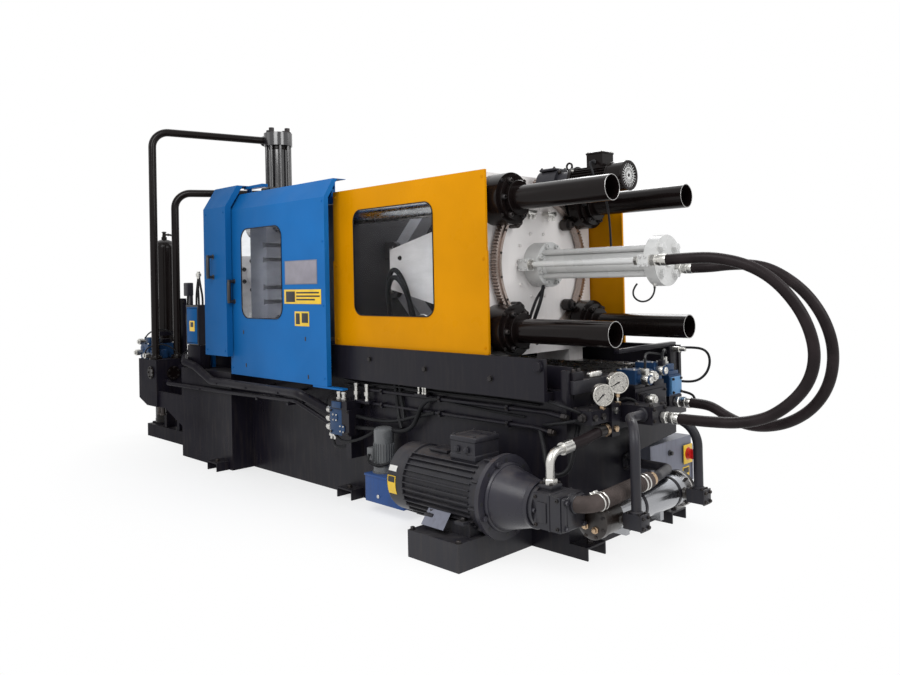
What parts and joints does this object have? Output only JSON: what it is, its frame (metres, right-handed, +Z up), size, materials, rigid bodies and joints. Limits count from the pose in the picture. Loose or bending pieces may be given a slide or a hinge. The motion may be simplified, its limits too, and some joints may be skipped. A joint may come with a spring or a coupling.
{
  "type": "die casting machine",
  "caption": "Horizontal cold chamber die casting machine with a toggle clamp on tie bars, sliding guards, hydraulic pump set and a vertical accumulator.",
  "frame": {"origin": "on the floor, on the machine's centre plane, under the die face of the fixed platen", "axes": "+X along the tie bars from the injection end to the clamp end, +Z up, -Y the operator's side"},
  "size_m": [5.7591, 1.719, 2.69],
  "materials": {
    "black_oxide": "black oxide steel",
    "black_plastic": "black plastic",
    "blue_paint": "satin blue paint",
    "cabinet_grey": "grey paint",
    "clear_sheet": "clear sheet",
    "cooler_steel": "bare metal shell",
    "dark_paint": "satin charcoal machine paint",
    "gauge_steel": "stainless case",
    "gloss_black": "gloss black paint",
    "grey_paint": "satin dark grey paint",
    "ground_steel": "ground steel",
    "hose_rubber": "black rubber",
    "link_paint": "light grey paint",
    "platen_paint": "light grey paint with machined faces",
    "pump_paint": "blue grey paint",
    "red_plastic": "red plastic",
    "ring_steel": "machined steel with an oil film",
    "silver_paint": "satin silver white paint",
    "tank_blue": "satin blue paint",
    "valve_blue": "dark blue paint",
    "white_paint": "light grey white paint",
    "yellow_paint": "gloss yellow orange paint",
    "zinc": "zinc plated steel"
  },
  "bodies": {
    "frame": {"accumulator": "gloss_black", "accumulator_pipes": "gloss_black", "arch_pipes": "grey_paint", "bar_tubes": "gloss_black", "bed_frame": "dark_paint", "bed_side_plates": "dark_paint", "bellhousing": "grey_paint", "closing_cylinder_barrel": "silver_paint", "closing_cylinder_heads": "silver_paint", "closing_hose_inner": "hose_rubber", "closing_hose_outer": "hose_rubber", "control_box": "grey_paint", "door_rail": "blue_paint", "end_manifold": "dark_paint", "end_valves": "valve_blue", "fixed_platen": "platen_paint", "floor_feet": "dark_paint", "front_valve_block": "valve_blue", "guard_panels": "yellow_paint", "guard_windows": "clear_sheet", "hard_pipes": "dark_paint", "height_gearbox": "grey_paint", "height_motor": "gloss_black", "hose_fittings": "zinc", "hydraulic_pump": "pump_paint", "injection_base": "dark_paint", "left_manifold": "dark_paint", "left_valves": "valve_blue", "lubrication_unit": "tank_blue", "motor_body": "grey_paint", "motor_covers": "grey_paint", "motor_plinth": "dark_paint", "nitrogen_bottle": "gloss_black", "nut_covers": "gloss_black", "oil_cooler": "cooler_steel", "pressure_gauges": "gauge_steel", "pressure_hose": "hose_rubber", "ring_rollers": "black_oxide", "shot_cylinder": "white_paint", "side_beams": "dark_paint", "slide_rails": "ground_steel", "suction_hose": "hose_rubber", "suction_pipe": "grey_paint", "switch_cabinet": "cabinet_grey", "tailstock": "white_paint", "tie_bars": "ground_steel", "toggle_cheeks": "white_paint"},
    "front_door": {"front_door": "blue_paint", "front_door_handle": "black_plastic", "front_door_window": "clear_sheet"},
    "narrow_door": {"narrow_door": "blue_paint", "narrow_door_handle": "black_plastic"},
    "rear_links_top": {"rear_links_top": "link_paint"},
    "front_link_top": {"front_link_top": "link_paint"},
    "moving_platen": {"moving_platen": "platen_paint"},
    "rear_links_bottom": {"rear_links_bottom": "link_paint"},
    "front_link_bottom": {"front_link_bottom": "link_paint"},
    "ring_gear": {"ring_gear": "ring_steel"},
    "drive_pinion": {"drive_pinion": "ring_steel"},
    "switch_knob": {"switch_knob": "red_plastic"}
  },
  "joints": [
    {"name": "front_door_slide", "type": "slide", "parent": "frame", "child": "front_door", "axis": [1, 0, 0], "range_m": [0, 0.85]},
    {"name": "narrow_door_slide", "type": "slide", "parent": "frame", "child": "narrow_door", "axis": [-1, 0, 0], "range_m": [0, 0.28]},
    {"name": "clamp_toggle", "type": "hinge", "parent": "frame", "child": "rear_links_top", "pos_m": [1.67211, 0, 1.548], "axis": [0, 1, 0], "range_deg": [-40, 0]},
    {"name": "toggle_elbow_top", "type": "hinge", "parent": "rear_links_top", "child": "front_link_top", "pos_m": [1.31855, 0, 1.90155], "axis": [0, 1, 0], "range_deg": [0, 80]},
    {"name": "platen_pivot", "type": "hinge", "parent": "front_link_top", "child": "moving_platen", "pos_m": [0.965, 0, 1.548], "axis": [0, 1, 0], "range_deg": [-40, 0]},
    {"name": "toggle_rear_bottom", "type": "hinge", "parent": "frame", "child": "rear_links_bottom", "pos_m": [1.67211, 0, 1.288], "axis": [0, 1, 0], "range_deg": [0, 40]},
    {"name": "toggle_elbow_bottom", "type": "hinge", "parent": "rear_links_bottom", "child": "front_link_bottom", "pos_m": [1.31855, 0, 0.93445], "axis": [0, 1, 0], "range_deg": [-80, 0]},
    {"name": "ring_gear_turn", "type": "hinge", "parent": "frame", "child": "ring_gear", "pos_m": [2.12, 0, 1.418], "axis": [1, 0, 0], "continuous": true},
    {"name": "drive_pinion_turn", "type": "hinge", "parent": "frame", "child": "drive_pinion", "pos_m": [2.12, 0, 1.865], "axis": [1, 0, 0], "continuous": true},
    {"name": "main_switch_turn", "type": "hinge", "parent": "frame", "child": "switch_knob", "pos_m": [2.77, 0.476, 0.356], "axis": [1, 0, 0], "range_deg": [0, 90]}
  ],
  "couplings": [
    {"joint": "toggle_elbow_top", "follows": "clamp_toggle", "ratio": -2},
    {"joint": "platen_pivot", "follows": "clamp_toggle", "ratio": 1},
    {"joint": "toggle_rear_bottom", "follows": "clamp_toggle", "ratio": -1},
    {"joint": "toggle_elbow_bottom", "follows": "clamp_toggle", "ratio": 2},
    {"joint": "drive_pinion_turn", "follows": "ring_gear_turn", "ratio": -9.6429}
  ]
}
